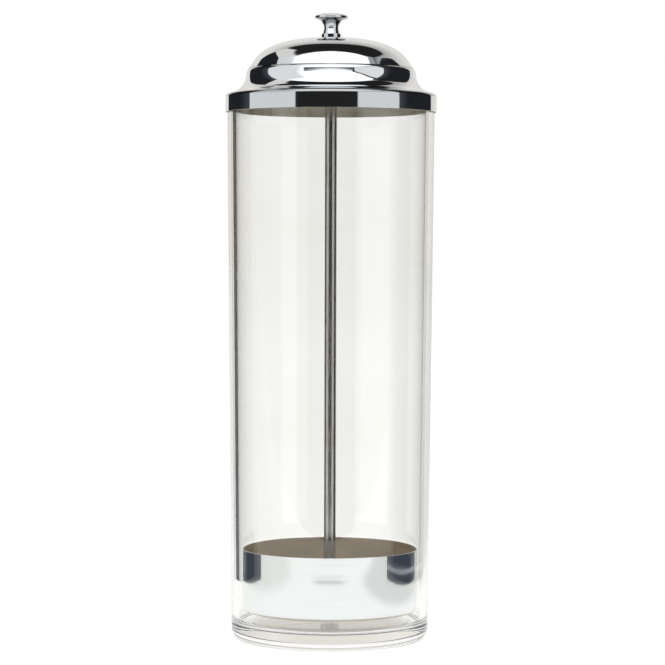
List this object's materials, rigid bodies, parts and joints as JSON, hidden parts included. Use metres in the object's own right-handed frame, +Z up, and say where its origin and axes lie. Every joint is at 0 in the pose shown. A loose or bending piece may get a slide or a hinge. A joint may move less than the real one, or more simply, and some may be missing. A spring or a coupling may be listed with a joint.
{
  "type": "straw dispenser",
  "caption": "Clear countertop jar with a domed chrome lid; its knob lifts a rod and a shallow cup, so that the straws standing in the cup rise and fan out.",
  "frame": {"origin": "centre of the jar's foot, in the plane that the jar stands on", "axes": "+Z up along the common axis of jar, lid, rod and cup; +X and +Y lie in the plane of the foot, and the part is round about Z"},
  "size_m": [0.091, 0.091, 0.27],
  "materials": {
    "clear_plastic": "clear, polished moulding",
    "chrome": "bright plating with fine wiping marks",
    "bright_steel": "bright pressed sheet with faint spun rings",
    "plated_steel": "zinc plate, satin"
  },
  "bodies": {
    "jar": {"jar": "clear_plastic"},
    "insert": {"lid": "chrome", "knob": "chrome", "lift_rod": "chrome", "lid_nut": "plated_steel", "lid_washer": "plated_steel", "cup": "bright_steel", "cup_upper_washer": "plated_steel", "cup_lower_washer": "plated_steel", "cup_spring_washer": "plated_steel", "cup_nut": "plated_steel"}
  },
  "joints": [
    {"name": "insert_lift", "type": "slide", "parent": "jar", "child": "insert", "axis": [0, 0, 1], "range_m": [0, 0.24]}
  ]
}
